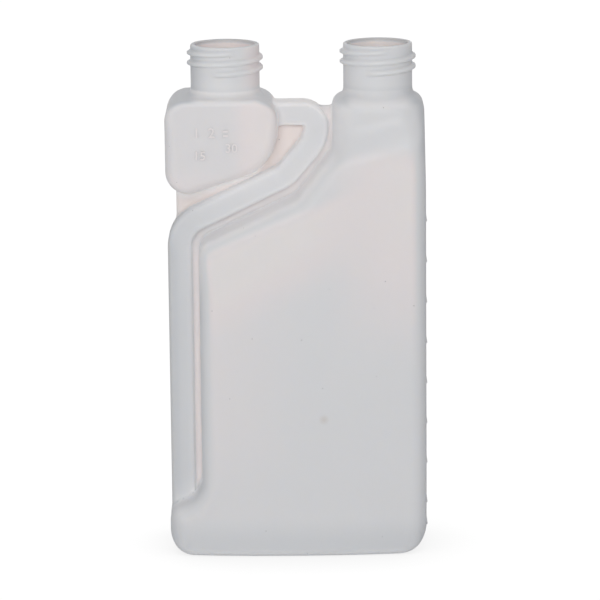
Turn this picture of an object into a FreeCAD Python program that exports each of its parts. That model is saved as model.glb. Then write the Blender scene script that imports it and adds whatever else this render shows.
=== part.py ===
"""Twin neck dispensing bottle: one blow-moulded shell with a tall reservoir, a dosing chamber beside its
tower, and a transfer tube that runs up from the reservoir's foot and over a crest into the chamber.

Frame: X to the right, Y to the back, Z up, origin at the bottom centre of the whole bottle. The mould parts
on the plane Y = 0. Every size is in millimetres and is driven by the sheet named Sizes.
"""
import FreeCAD, Part
import os

import Sketcher

doc = FreeCAD.newDocument("TwinNeckBottle")
Z_AXIS = FreeCAD.Vector(0, 0, 1)
TOLERANCE = 0.01  # two places nearer than this are one place

# ------------------------------------------------------------------------------------------- driving sizes
SIZES = [
    # the whole bottle
    ("body_width", 82.0, "left side of the chamber to the right wall of the reservoir"),
    ("rim_height", 162.0, "base to the top of both rims"),
    ("wall", 1.0, "blown wall"),
    ("edge_radius", 5.5, "rounding between the sides and the front and back"),
    # reservoir: a drop is a distance below the rims
    ("reservoir_depth", 37.0, "front to back"),
    ("base_corner_more", 1.5, "right bottom corner, over the edge radius"),
    ("foot_height", 13.8, "top of the foot that carries the tube"),
    ("foot_flat", 0.2, "straight part left between the two rounded corners of the foot's nose"),
    ("foot_fillet", 9.0, "where the foot turns up into the reservoir's left side"),
    ("slope_drop", 61.6, "left end of the long slope under the tube"),
    ("slope_corner_more", 0.5, "rounding at that end, over the edge radius"),
    ("knee_drop", 47.0, "knee where the long slope turns steeper"),
    ("knee_run", 11.05, "that knee to the left side of the tower"),
    ("knee_fillet", 9.0, "rounding in the knee"),
    ("shoulder_left_drop", 31.0, "left end of the shoulder under the tower"),
    ("shoulder_right_drop", 25.0, "right end of that shoulder"),
    ("shoulder_corner_more", 2.5, "rounding at its right end, over the edge radius"),
    # shallow hollow in the base, which leaves a ring to stand on
    ("base_hollow", 1.0, "height of the hollow"),
    ("base_ring", 4.0, "flat ring round it"),
    # necks, and the tower that carries the filling neck
    ("neck_diameter", 21.6, "neck under its thread"),
    ("neck_wall", 1.4, "moulded wall of a neck"),
    ("neck_root", 0.8, "rounding where the filling neck leaves the tower"),
    ("rim_rounding", 0.4, "outer edge of a rim"),
    ("tower_drop", 14.6, "ring at the top of the tower"),
    ("tower_ledge", 3.8, "width of that ring"),
    ("tower_flat", 0.1, "part of the ring that is left flat"),
    ("tower_side_step", 0.5, "right wall of the reservoir to the side of the tower"),
    ("dosing_neck_shift", 1.1, "middle of the chamber to the axis of its neck"),
    # thread of both necks
    ("thread_relief", 1.1, "thread over the neck"),
    ("thread_pitch", 3.175, "eight turns to the inch"),
    ("thread_turns", 2.1, "right hand, one start"),
    ("thread_drop", 8.4, "lower end of the thread"),
    ("thread_start_angle", -109.0, "its lower end, about the neck, from +X"),
    ("thread_root_width", 2.0, "thread at the neck"),
    ("thread_crest_width", 0.8, "thread at its crest"),
    # dosing chamber
    ("chamber_width", 36.0, "left to right"),
    ("chamber_depth", 29.0, "front to back"),
    ("chamber_drop", 14.4, "shoulder under the dosing neck"),
    ("chamber_left_height", 35.5, "shoulder down to the left end of the floor"),
    ("chamber_floor_rise", 13.0, "rise of the floor from left to right"),
    ("chamber_corner_more", 2.5, "upper corners, over the edge radius"),
    ("chamber_low_corner_more", 1.0, "lower left corner, over the edge radius"),
    ("chamber_sweep", 16.0, "long curve from the floor up the right side"),
    # transfer tube
    ("tube_width", 7.5, "seen from the front"),
    ("tube_depth", 9.5, "front to back"),
    ("tube_rounding", 2.6, "its four long edges"),
    ("tube_side_step", 0.35, "left side of the chamber to the left side of the tube"),
    ("tube_turn_drop", 57.2, "where the riser meets the long slope"),
    ("tube_knee_drop", 41.3, "where the long slope turns steeper"),
    ("tube_knee_run", 14.6, "that turn to the left side of the tower"),
    ("tube_crest_run", 4.9, "middle of the last short riser to the side of the tower"),
    ("tube_crest_drop", 21.3, "middle of the level stretch into the chamber"),
    ("tube_crest_riser", 8.8, "height of the last short riser"),
    ("tube_bend", 10.0, "bends of the tube's middle line"),
    ("tube_crest_inside", 0.45, "inner radius of the tight bend at the crest"),
    # webs left by the pinched mould
    ("web_thickness", 2.0, "pinched web between the hollow forms"),
    ("strip_width", 2.0, "web between the riser and the reservoir"),
    ("web_left", 3.7, "left side of the chamber to the web under it"),
    ("web_drop", 19.6, "top edge of the web between the tube and the tower"),
    # raised level bars on the right side
    ("bar_relief", 0.4, "bars stand proud by this"),
    ("bar_height", 0.8, "bar thickness, up and down"),
    ("bar_length", 9.0, "bar, front to back"),
    ("bar_pitch", 13.1, "one level to the next"),
    ("bar_first", 14.2, "base to the lowest full level"),
    ("bar_half", 6.9, "base to the half level"),
    ("bar_headroom", 15.0, "bare wall kept between the bars and the shoulder"),
]

sheet = doc.addObject("Spreadsheet::Sheet", "Sizes")
for row, (alias, value, note) in enumerate(SIZES, start=1):
    sheet.set(f"A{row}", alias)
    sheet.set(f"B{row}", str(value))
    sheet.set(f"C{row}", note)
    sheet.setAlias(f"B{row}", alias)
doc.recompute()


def cell(alias):
    return f"Sizes.{alias}"


def below_rim(drop):
    """The height of a place that the sheet gives as a drop below the rims."""
    return f"({cell('rim_height')} - {cell(drop)})"


def over_edge(more):
    """A corner radius that stays larger than the edge rounding that runs round it."""
    return f"({cell('edge_radius')} + {cell(more)})"


# Places and sizes that several forms share, written once as expressions of the sheet.
LEFT = f"(-({cell('body_width')} + {cell('bar_relief')}) / 2)"
RIGHT = f"(({cell('body_width')} - {cell('bar_relief')}) / 2)"
NECK_RADIUS = f"({cell('neck_diameter')} / 2)"
BORE_RADIUS = f"({NECK_RADIUS} - {cell('neck_wall')})"
TOWER_RADIUS = f"({NECK_RADIUS} + {cell('tower_ledge')})"
FILLING_X = f"({RIGHT} - {cell('tower_side_step')} - {TOWER_RADIUS})"
TOWER_LEFT = f"({FILLING_X} - {TOWER_RADIUS})"
TUBE_X = f"({LEFT} + {cell('tube_side_step')} + {cell('tube_width')} / 2)"
RESERVOIR_LEFT = f"({TUBE_X} + {cell('tube_width')} / 2 + {cell('strip_width')})"
KNEE_X = f"({TOWER_LEFT} - {cell('knee_run')})"
CHAMBER_RIGHT = f"({LEFT} + {cell('chamber_width')})"
DOSING_X = f"({LEFT} + {cell('chamber_width')} / 2 + {cell('dosing_neck_shift')})"
LAP = f"(4 * {cell('wall')})"  # how far a form runs into its neighbour before they become one


gauge = doc.addObject("App::FeaturePython", "Gauge")
gauge.addProperty("App::PropertyFloat", "Reading", "Gauge", "value of the expression being read")


def number(expression):
    """The value of an expression of the sheet at its present sizes."""
    gauge.setExpression("Reading", str(expression))
    gauge.recompute()
    return gauge.Reading


# --------------------------------------------------------------------------------------------- small tools
def same(one, other):
    return abs(one - other) < TOLERANCE


def origin_plane(body, role):
    return next(item for item in body.Origin.OriginFeatures if item.Role == role)


def new_sketch(body, name, role):
    sketch = body.newObject("Sketcher::SketchObject", name)
    sketch.AttachmentSupport = [(origin_plane(body, role), "")]
    sketch.MapMode = "FlatFace"
    return sketch


def pin_point(sketch, line, end, across, up):
    """Ties one end of a line to the sketch's origin by two expressions."""
    for kind, expression in (("DistanceX", across), ("DistanceY", up)):
        value = number(expression)
        index = sketch.addConstraint(Sketcher.Constraint(kind, -1, 1, line, end, value))
        sketch.setExpression(f"Constraints[{index}]", str(expression))


def draw_outline(sketch, corners, closed=True):
    """Straight lines from corner to corner, each corner an (across, up) pair of expressions."""
    places = [FreeCAD.Vector(number(across), number(up), 0) for across, up in corners]
    count = len(places) if closed else len(places) - 1
    for index in range(count):
        sketch.addGeometry(Part.LineSegment(places[index], places[(index + 1) % len(places)]), False)
    for index in range(count if closed else count - 1):
        sketch.addConstraint(Sketcher.Constraint("Coincident", index, 2, (index + 1) % count, 1))
    for index in range(count):
        pin_point(sketch, index, 1, *corners[index])
    if not closed:
        pin_point(sketch, count - 1, 2, *corners[-1])


def edge_names(shape, wanted):
    return [f"Edge{index}" for index, edge in enumerate(shape.Edges, start=1) if wanted(edge)]


def round_edges(body, base, wanted, radius):
    """A PartDesign fillet on every edge of the last feature that passes the test."""
    names = edge_names(base.Shape, wanted)
    if not names:
        raise RuntimeError(f"{body.Name}: no edge to round with {radius}")
    fillet = body.newObject("PartDesign::Fillet", f"{body.Name}_rounding")
    fillet.Base = (base, names)
    fillet.Radius = number(radius)
    fillet.setExpression("Radius", str(radius))
    doc.recompute()
    return fillet


def stands_at(across, up):
    """True for an edge along Y through this corner of the front view."""
    x, z = number(across), number(up)

    def wanted(edge):
        ends = [vertex.Point for vertex in edge.Vertexes]
        return len(ends) == 2 and all(same(p.x, x) and same(p.z, z) for p in ends)

    return wanted


def on_face(depth):
    """True for an edge that lies on the front or the back face of a form this deep."""
    half = number(depth) / 2

    def wanted(edge):
        box = edge.BoundBox
        return same(abs(box.YMin), half) and same(box.YLength, 0)

    return wanted


def slab(name, corners, depth, roundings=(), edge_radius=None):
    """A form padded both ways from the parting plane: corners rounded first, then front and back edges."""
    body = doc.addObject("PartDesign::Body", name)
    sketch = new_sketch(body, f"{name}_outline", "XZ_Plane")
    draw_outline(sketch, corners)
    pad = body.newObject("PartDesign::Pad", f"{name}_pad")
    pad.Profile = sketch
    pad.Midplane = True
    pad.Length = number(depth)
    pad.setExpression("Length", str(depth))
    doc.recompute()
    last = pad
    for corner, radius in roundings:
        last = round_edges(body, last, stands_at(*corners[corner]), radius)
    if edge_radius:
        last = round_edges(body, last, on_face(depth), edge_radius)
    return body


def inset(name, source, amount):
    """The same form, smaller by a wall all round."""
    offset = doc.addObject("Part::Offset", name)
    offset.Source = source
    offset.Mode = 0
    offset.Join = 0
    offset.Intersection = False
    offset.SelfIntersection = False
    offset.Value = -number(amount)
    offset.setExpression("Value", f"-({amount})")
    doc.recompute()
    return offset


def turned(name, profile, x_place, roundings=(), angle=None):
    """A form turned about an upright axis: profile points are (radius, height)."""
    body = doc.addObject("PartDesign::Body", name)
    sketch = new_sketch(body, f"{name}_profile", "XZ_Plane")
    draw_outline(sketch, profile)
    turn = body.newObject("PartDesign::Revolution", f"{name}_turn")
    turn.Profile = sketch
    turn.ReferenceAxis = (sketch, ["V_Axis"])
    turn.Angle = 360.0
    doc.recompute()
    last = turn
    for corner, radius in roundings:
        wide, high = (number(value) for value in profile[corner])

        def wanted(edge, wide=wide, high=high):
            ring = edge.Curve
            if not isinstance(ring, Part.Circle):
                return False
            return same(ring.Radius, wide) and same(ring.Center.z, high)

        last = round_edges(body, last, wanted, radius)
    body.Placement = FreeCAD.Placement(
        FreeCAD.Vector(number(x_place), 0, 0), FreeCAD.Rotation(Z_AXIS, number(angle) if angle else 0)
    )
    body.setExpression("Placement.Base.x", str(x_place))
    if angle:
        body.setExpression("Placement.Rotation.Angle", str(angle))
    return body


# ----------------------------------------------------------------------------------------------- reservoir
FOOT_NOSE = f"(({cell('foot_height')} - {cell('foot_flat')}) / 2)"
SHOULDER_RIGHT = below_rim("shoulder_right_drop")
RESERVOIR = [
    (LEFT, "0"),
    (RIGHT, "0"),
    (RIGHT, SHOULDER_RIGHT),
    (TOWER_LEFT, below_rim("shoulder_left_drop")),
    (KNEE_X, below_rim("knee_drop")),
    (RESERVOIR_LEFT, below_rim("slope_drop")),
    (RESERVOIR_LEFT, cell("foot_height")),
    (LEFT, cell("foot_height")),
]
reservoir = slab(
    "Reservoir",
    RESERVOIR,
    cell("reservoir_depth"),
    roundings=[
        (0, FOOT_NOSE),
        (1, over_edge("base_corner_more")),
        (2, over_edge("shoulder_corner_more")),
        (3, over_edge("slope_corner_more")),
        (4, cell("knee_fillet")),
        (5, over_edge("slope_corner_more")),
        (6, cell("foot_fillet")),
        (7, FOOT_NOSE),
    ],
    edge_radius=cell("edge_radius"),
)
reservoir_hollow = inset("ReservoirHollow", reservoir, cell("wall"))

# -------------------------------------------------------------------------------------- hollow in the base
def base_block(name, grow, top):
    """A rounded block under the base; grow widens it all round and top is the height of its upper face."""
    body = doc.addObject("PartDesign::Body", name)
    sketch = new_sketch(body, f"{name}_outline", "XY_Plane")
    margin = f"({over_edge('base_corner_more')} + {cell('base_ring')} - {grow})"
    side = f"({cell('reservoir_depth')} / 2 - {cell('edge_radius')} - {cell('base_ring')} + {grow})"
    left, right = f"({LEFT} + {margin})", f"({RIGHT} - {margin})"
    draw_outline(sketch, [(left, f"(-{side})"), (right, f"(-{side})"), (right, side), (left, side)])
    pad = body.newObject("PartDesign::Pad", f"{name}_pad")
    pad.Profile = sketch
    pad.Length = number(top)
    pad.setExpression("Length", str(top))
    doc.recompute()
    corner = f"({cell('base_ring')} + {grow})"
    round_edges(body, pad, lambda edge: same(edge.BoundBox.ZLength, number(top)), corner)
    return body


base_hollow = base_block("BaseHollow", "0", cell("base_hollow"))
base_floor = base_block("BaseFloor", cell("wall"), f"({cell('base_hollow')} + {cell('wall')})")

# ------------------------------------------------------------------------------------------ dosing chamber
CHAMBER_TOP = below_rim("chamber_drop")
CHAMBER_LOW = f"({CHAMBER_TOP} - {cell('chamber_left_height')})"
CHAMBER = [
    (LEFT, CHAMBER_LOW),
    (CHAMBER_RIGHT, f"({CHAMBER_LOW} + {cell('chamber_floor_rise')})"),
    (CHAMBER_RIGHT, CHAMBER_TOP),
    (LEFT, CHAMBER_TOP),
]
chamber = slab(
    "Chamber",
    CHAMBER,
    cell("chamber_depth"),
    roundings=[
        (0, over_edge("chamber_low_corner_more")),
        (1, cell("chamber_sweep")),
        (2, over_edge("chamber_corner_more")),
        (3, over_edge("chamber_corner_more")),
    ],
    edge_radius=cell("edge_radius"),
)
chamber_hollow = inset("ChamberHollow", chamber, cell("wall"))

# ------------------------------------------------------------------------------------------- transfer tube
CREST = below_rim("tube_crest_drop")
CREST_X = f"({TOWER_LEFT} - {cell('tube_crest_run')})"
TUBE_TURN = below_rim("tube_turn_drop")
TUBE_LINE = [
    (TUBE_X, f"({cell('foot_height')} - {LAP})"),
    (TUBE_X, TUBE_TURN),
    (f"({TOWER_LEFT} - {cell('tube_knee_run')})", below_rim("tube_knee_drop")),
    (CREST_X, f"({CREST} - {cell('tube_crest_riser')})"),
    (CREST_X, CREST),
    (f"({CHAMBER_RIGHT} - {LAP})", CREST),
]
CREST_BEND = f"({cell('tube_width')} / 2 + {cell('tube_crest_inside')})"
TUBE_BENDS = [cell("tube_bend")] * 3 + [CREST_BEND]


def bend_points(line, joint):
    """Points on the two lines beside a bend, which tell the sketch which corner to round."""
    before, corner, after = (
        FreeCAD.Vector(number(across), number(up), 0)
        for across, up in (line[(joint + step) % len(line)] for step in range(3))
    )
    near = 0.05  # share of each line between the corner and its point
    return corner + (before - corner) * near, corner + (after - corner) * near


def round_corners(sketch, line, radii, closed=False):
    """Rounds the corners of an outline drawn in a sketch and ties each arc to its radius."""
    lines = len(line) if closed else len(line) - 1
    for joint, radius in enumerate(radii):
        after = (joint + 1) % lines
        sketch.fillet(joint, after, *bend_points(line, joint), number(radius), True, True)
    arcs = [index for index, piece in enumerate(sketch.Geometry) if isinstance(piece, Part.ArcOfCircle)]
    for index, radius in zip(arcs, radii):
        tie = sketch.addConstraint(Sketcher.Constraint("Radius", index, number(radius)))
        sketch.setExpression(f"Constraints[{tie}]", radius)


def tube(name, shrink, longer):
    """A rounded oblong swept along the tube's middle line: shrink thins it, longer adds to its ends."""
    body = doc.addObject("PartDesign::Body", name)
    line = [list(point) for point in TUBE_LINE]
    line[0][1] = f"({line[0][1]} - {longer})"
    line[-1][0] = f"({line[-1][0]} - {longer})"
    path = new_sketch(body, f"{name}_line", "XZ_Plane")
    draw_outline(path, line, closed=False)
    round_corners(path, line, TUBE_BENDS)
    section = new_sketch(body, f"{name}_section", "XY_Plane")
    section.AttachmentOffset.Base.z = number(line[0][1])
    section.setExpression("AttachmentOffset.Base.z", line[0][1])
    wide = f"({cell('tube_width')} / 2 - {shrink})"
    deep = f"({cell('tube_depth')} / 2 - {shrink})"
    left, right = f"({TUBE_X} - {wide})", f"({TUBE_X} + {wide})"
    oblong = [(left, f"(-{deep})"), (right, f"(-{deep})"), (right, deep), (left, deep)]
    draw_outline(section, oblong)
    round_corners(section, oblong, [f"({cell('tube_rounding')} - {shrink})"] * 4, closed=True)
    doc.recompute()
    pipe = body.newObject("PartDesign::AdditivePipe", f"{name}_pipe")
    pipe.Profile = section
    pipe.Spine = (path, [])
    pipe.Mode = "Standard"
    pipe.Transition = "Transformed"
    doc.recompute()
    return body


tube_form = tube("Tube", "0", "0")
tube_bore = tube("TubeBore", cell("wall"), cell("wall"))

# -------------------------------------------------------------------------------- pinched web between them
WEB_EDGE = f"({LEFT} + {cell('web_left')})"
INSIDE_RESERVOIR = f"({RESERVOIR_LEFT} + {LAP})"
FOOT_INSIDE = f"({cell('foot_height')} - {LAP} / 2)"
WEB_TOP = below_rim("web_drop")
WEB = [
    (TUBE_X, FOOT_INSIDE),
    (INSIDE_RESERVOIR, FOOT_INSIDE),
    (INSIDE_RESERVOIR, f"({below_rim('slope_drop')} - {LAP})"),
    (KNEE_X, f"({below_rim('knee_drop')} - {LAP})"),
    (FILLING_X, below_rim("shoulder_left_drop")),
    (FILLING_X, WEB_TOP),
    (f"({CHAMBER_RIGHT} - {LAP})", WEB_TOP),
    (WEB_EDGE, f"({CHAMBER_LOW} + {over_edge('chamber_low_corner_more')})"),
    (WEB_EDGE, f"({TUBE_TURN} - {cell('tube_bend')} / 2)"),
    (TUBE_X, f"({TUBE_TURN} - {cell('tube_bend')})"),
]
web = slab("Web", WEB, cell("web_thickness"))

# -------------------------------------------------------------------------------- tower, necks and threads
RIM = cell("rim_height")
ABOVE_RIM = f"({RIM} + {cell('wall')})"
TOWER_TOP = below_rim("tower_drop")
TOWER_FOOT = f"({below_rim('knee_drop')} + {LAP} / 2)"
TOWER_ROUNDING = f"({cell('tower_ledge')} - {cell('neck_root')} - {cell('tower_flat')})"


def add_thread(body):
    """One right-hand thread wound up the neck, rooted a little under the neck's surface."""
    sketch = new_sketch(body, f"{body.Name}_thread_section", "XZ_Plane")
    root = f"({NECK_RADIUS} - {cell('rim_rounding')})"
    crest = f"({NECK_RADIUS} + {cell('thread_relief')})"
    middle = below_rim("thread_drop")
    root_half = f"({cell('thread_root_width')} / 2)"
    crest_half = f"({cell('thread_crest_width')} / 2)"
    draw_outline(
        sketch,
        [
            (root, f"({middle} - {root_half})"),
            (crest, f"({middle} - {crest_half})"),
            (crest, f"({middle} + {crest_half})"),
            (root, f"({middle} + {root_half})"),
        ],
    )
    doc.recompute()
    thread = body.newObject("PartDesign::AdditiveHelix", f"{body.Name}_thread")
    thread.Profile = sketch
    thread.ReferenceAxis = (sketch, ["V_Axis"])
    thread.Mode = "pitch-turns-angle"
    for size in ("Pitch", "Turns"):
        setattr(thread, size, number(cell(f"thread_{size.lower()}")))
        thread.setExpression(size, cell(f"thread_{size.lower()}"))
    thread.LeftHanded = False
    thread.Reversed = False
    doc.recompute()


filling_neck = turned(
    "FillingNeck",
    [
        ("0", TOWER_FOOT),
        (TOWER_RADIUS, TOWER_FOOT),
        (TOWER_RADIUS, TOWER_TOP),
        (NECK_RADIUS, TOWER_TOP),
        (NECK_RADIUS, RIM),
        ("0", RIM),
    ],
    FILLING_X,
    roundings=[(2, TOWER_ROUNDING), (3, cell("neck_root")), (4, cell("rim_rounding"))],
    angle=cell("thread_start_angle"),
)
TOWER_HOLLOW = f"({TOWER_RADIUS} - {cell('wall')})"
TOWER_CEILING = f"({TOWER_TOP} - {cell('wall')})"
filling_bore = turned(
    "FillingBore",
    [
        ("0", f"({TOWER_FOOT} - {cell('wall')})"),
        (TOWER_HOLLOW, f"({TOWER_FOOT} - {cell('wall')})"),
        (TOWER_HOLLOW, TOWER_CEILING),
        (BORE_RADIUS, TOWER_CEILING),
        (BORE_RADIUS, ABOVE_RIM),
        ("0", ABOVE_RIM),
    ],
    FILLING_X,
    roundings=[(2, f"({TOWER_ROUNDING} - {cell('wall')})")],
)
CHAMBER_CORE = f"({CHAMBER_TOP} - {cell('edge_radius')} - {cell('wall')})"
dosing_neck = turned(
    "DosingNeck",
    [("0", CHAMBER_CORE), (NECK_RADIUS, CHAMBER_CORE), (NECK_RADIUS, RIM), ("0", RIM)],
    DOSING_X,
    roundings=[(2, cell("rim_rounding"))],
    angle=cell("thread_start_angle"),
)
dosing_bore = turned(
    "DosingBore",
    [("0", CHAMBER_CORE), (BORE_RADIUS, CHAMBER_CORE), (BORE_RADIUS, ABOVE_RIM), ("0", ABOVE_RIM)],
    DOSING_X,
)
for neck in (filling_neck, dosing_neck):
    add_thread(neck)

# --------------------------------------------------------------------------------- level bars on the right
def level_bar(name, middle):
    """A raised bar on the right wall, sunk into the wall by half its thickness."""
    bar = doc.addObject("Part::Box", name)
    sunk = f"({cell('wall')} / 2)"
    sizes = {
        "Length": f"({cell('bar_relief')} + {sunk})",
        "Width": cell("bar_length"),
        "Height": cell("bar_height"),
        "Placement.Base.x": f"({RIGHT} - {sunk})",
        "Placement.Base.y": f"(-{cell('bar_length')} / 2)",
        "Placement.Base.z": f"({middle} - {cell('bar_height')} / 2)",
    }
    for place, expression in sizes.items():
        bar.setExpression(place, expression)
    return bar


BAR_CEILING = f"({SHOULDER_RIGHT} - {over_edge('shoulder_corner_more')} - {cell('bar_headroom')})"
bar_count = int(number(f"(({BAR_CEILING} - {cell('bar_first')}) / {cell('bar_pitch')})")) + 1
bars = [
    level_bar(f"LevelBar{index + 1}", f"({cell('bar_first')} + {index} * {cell('bar_pitch')})")
    for index in range(bar_count)
]
bars.append(level_bar("HalfLevelBar", cell("bar_half")))
doc.recompute()

# ---------------------------------------------------------------------------------------- the blown bottle
outside = doc.addObject("Part::MultiFuse", "Outside")
outside.Shapes = [reservoir, chamber, tube_form, web, filling_neck, dosing_neck] + bars
standing = doc.addObject("Part::Cut", "OutsideOverBase")
standing.Base = outside
standing.Tool = base_hollow
inside = doc.addObject("Part::MultiFuse", "Inside")
inside.Shapes = [reservoir_hollow, chamber_hollow, tube_bore, filling_bore, dosing_bore]
hollow = doc.addObject("Part::Cut", "InsideOverBase")
hollow.Base = inside
hollow.Tool = base_floor
bottle = doc.addObject("Part::Cut", "Bottle")
bottle.Base = standing
bottle.Tool = hollow
bottle.Label = "bottle"
doc.recompute()

# ----------------------------------------------------------------------------------------- check and write
doc.removeObject(gauge.Name)
for thing in doc.Objects:
    if any(word in thing.State for word in ("Invalid", "Error")):
        raise RuntimeError(f"{thing.Name} did not compute: {thing.State}")
if bottle.Shape.isNull() or not bottle.Shape.isValid() or len(bottle.Shape.Solids) != 1:
    raise RuntimeError(f"{bottle.Label} is not one valid solid")
print(bottle.Label, "volume", round(bottle.Shape.Volume, 1), "mm3, box", bottle.Shape.optimalBoundingBox())

os.makedirs("parts", exist_ok=True)
bottle.Shape.exportStep(f"parts/{bottle.Label}.step")
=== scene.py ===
"""A twin neck dispensing bottle in natural polyethylene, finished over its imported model, in a studio."""

import math

import bpy
import numpy as np
from mathutils import Matrix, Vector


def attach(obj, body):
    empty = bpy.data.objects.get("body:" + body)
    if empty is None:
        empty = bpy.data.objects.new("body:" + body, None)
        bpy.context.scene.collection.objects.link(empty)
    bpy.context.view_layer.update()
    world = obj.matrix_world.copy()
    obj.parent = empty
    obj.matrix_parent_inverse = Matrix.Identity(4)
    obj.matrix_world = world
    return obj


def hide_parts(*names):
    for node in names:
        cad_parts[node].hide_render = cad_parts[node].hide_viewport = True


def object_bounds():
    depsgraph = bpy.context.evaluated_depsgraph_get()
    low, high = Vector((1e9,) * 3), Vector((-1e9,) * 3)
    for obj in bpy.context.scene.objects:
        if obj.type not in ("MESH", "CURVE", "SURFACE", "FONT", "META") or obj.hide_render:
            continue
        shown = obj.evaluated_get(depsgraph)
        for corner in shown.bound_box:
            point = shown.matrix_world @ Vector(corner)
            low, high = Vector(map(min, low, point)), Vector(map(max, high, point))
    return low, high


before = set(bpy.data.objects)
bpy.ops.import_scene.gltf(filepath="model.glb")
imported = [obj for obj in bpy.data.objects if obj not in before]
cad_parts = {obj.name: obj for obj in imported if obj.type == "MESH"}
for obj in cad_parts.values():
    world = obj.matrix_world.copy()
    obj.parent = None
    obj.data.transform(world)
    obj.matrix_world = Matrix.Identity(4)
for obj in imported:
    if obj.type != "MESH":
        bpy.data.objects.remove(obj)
packed_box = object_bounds()

# ------------------------------------------------------------------------------------------------ camera
# A long lens, looking a little down on the bottle from in front. It leans by half a degree, as a camera
# on a hand-set tripod does, and is far enough away to keep the bottle's sides almost parallel.
MM = 0.001
LENS, SENSOR = 207.0, 36.0
LOOKS_DOWN = math.radians(12.4)
LEANS = math.radians(-0.54)
STANDS_AT = (0.71, -1070.5, 315.0)
SEES_FROM, SEES_TO = 0.05, 20.0


def aimed(sideways, upward, ahead, place):
    """The placing of a camera or a light that looks ahead from a place in metres."""
    placing = np.eye(4)
    placing[:3] = np.stack([sideways, upward, -ahead, place], 1)
    return Matrix(placing.tolist())


forward = np.array((0, math.cos(LOOKS_DOWN), -math.sin(LOOKS_DOWN)))
level_right = np.array((1.0, 0, 0))
level_up = np.array((0, math.sin(LOOKS_DOWN), math.cos(LOOKS_DOWN)))
right = math.cos(LEANS) * level_right + math.sin(LEANS) * level_up
up = -math.sin(LEANS) * level_right + math.cos(LEANS) * level_up
camera = bpy.data.objects.new("camera", bpy.data.cameras.new("camera"))
camera.data.lens = LENS
camera.data.sensor_width = SENSOR
camera.data.clip_start = SEES_FROM
camera.data.clip_end = SEES_TO
camera.matrix_world = aimed(right, up, forward, np.array(STANDS_AT) * MM)
bpy.context.scene.collection.objects.link(camera)
bpy.context.scene.camera = camera

# ------------------------------------------------------------------------------------------------ studio
# A wide sheet of matt white paper in an even grey room that is lighter overhead and behind, with one large
# soft light high in front. The paper shows white to the camera and bounces less light than it shows. Where
# the bottle stands close over it, a painted contact shadow dims that white through an occlusion mask.
PAPER_HALF = 4.0
PAPER_WHITE = 1.03
PAPER_BOUNCES = 0.85
CONTACT_SHADE = 0.86
CONTACT_REACH = 0.03
CONTACT_CLOSED = 0.2
ROOM_LEVEL = (0.315, 0.315, 0.325, 1)
ROOM_OVERHEAD = (0.46, 0.46, 0.47, 1)
ROOM_SHOWS = (1.05, 1.05, 1.05, 1)
BACKDROP = (0.55, 0.54, 0.53, 1)
BACKDROP_FROM, BACKDROP_FULL = 0.5, 0.9
BLACK = (0, 0, 0, 1)
KEY_WATTS = 10.9
KEY_SIZE = 0.6
KEY_COLOUR = (1.0, 0.985, 0.97)
KEY_PLACE = (-0.16, -1.7, 0.62)
KEY_LOOKS_AT = (0, 0, 0.08)
LIGHT_BOUNCES = 24


def add(kind, inputs=(), **settings):
    """A node in the open tree, each of whose inputs is given a value or another node's output."""
    made = tree.nodes.new(kind)
    for name, value in settings.items():
        setattr(made, name, value)
    for name, value in dict(inputs).items():
        if isinstance(value, bpy.types.NodeSocket):
            tree.links.new(value, made.inputs[name])
        else:
            made.inputs[name].default_value = value
    return made


paper = bpy.data.materials.new("matt_white_paper")
paper.use_nodes = True
tree = paper.node_tree
tree.nodes.clear()
seen = add("ShaderNodeLightPath")
matt = add("ShaderNodeBsdfDiffuse", {"Color": (PAPER_BOUNCES, PAPER_BOUNCES, PAPER_BOUNCES, 1)})
nearby = add("ShaderNodeAmbientOcclusion", {"Distance": CONTACT_REACH})
# Painted contact shadow: the white the paper shows is dimmed where the bottle stands close over it.
painted_contact_shadow = add("ShaderNodeMapRange", {
    "Value": nearby.outputs["AO"], "From Min": CONTACT_CLOSED, "To Min": CONTACT_SHADE, "To Max": PAPER_WHITE,
})
lit = add("ShaderNodeEmission", {"Strength": painted_contact_shadow.outputs["Result"]})
either = add("ShaderNodeMixShader", {
    "Fac": seen.outputs["Is Camera Ray"], 1: matt.outputs["BSDF"], 2: lit.outputs["Emission"],
})
add("ShaderNodeOutputMaterial", {"Surface": either.outputs["Shader"]})
floor_mesh = bpy.data.meshes.new("floor")
paper_corners = [(-1, -1), (1, -1), (1, 1), (-1, 1)]
floor_mesh.from_pydata([(PAPER_HALF * x, PAPER_HALF * y, 0) for x, y in paper_corners], [], [(0, 1, 2, 3)])
floor_mesh.materials.append(paper)
floor = bpy.data.objects.new("floor", floor_mesh)
bpy.context.scene.collection.objects.link(floor)

world = bpy.data.worlds.new("studio")
bpy.context.scene.world = world
world.use_nodes = True
tree = world.node_tree
tree.nodes.clear()
seen = add("ShaderNodeLightPath")
way = add("ShaderNodeTexCoord")
split = add("ShaderNodeSeparateXYZ", {"Vector": way.outputs["Generated"]})
room = add("ShaderNodeValToRGB", {"Fac": split.outputs["Z"]})
room.color_ramp.interpolation = "EASE"
room.color_ramp.elements[0].color = ROOM_LEVEL
room.color_ramp.elements[1].color = ROOM_OVERHEAD
behind = add("ShaderNodeValToRGB", {"Fac": split.outputs["Y"]})
behind.color_ramp.elements[0].position = BACKDROP_FROM
behind.color_ramp.elements[0].color = BLACK
behind.color_ramp.elements[1].position = BACKDROP_FULL
behind.color_ramp.elements[1].color = BACKDROP
both = add("ShaderNodeMix", {
    "Factor": 1.0, "A": room.outputs["Color"], "B": behind.outputs["Color"],
}, data_type="RGBA", blend_type="ADD")
shade = add("ShaderNodeMix", {
    "Factor": seen.outputs["Is Camera Ray"], "A": both.outputs["Result"], "B": ROOM_SHOWS,
}, data_type="RGBA")
air = add("ShaderNodeBackground", {"Color": shade.outputs["Result"]})
add("ShaderNodeOutputWorld", {"Surface": air.outputs["Background"]})

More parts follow.
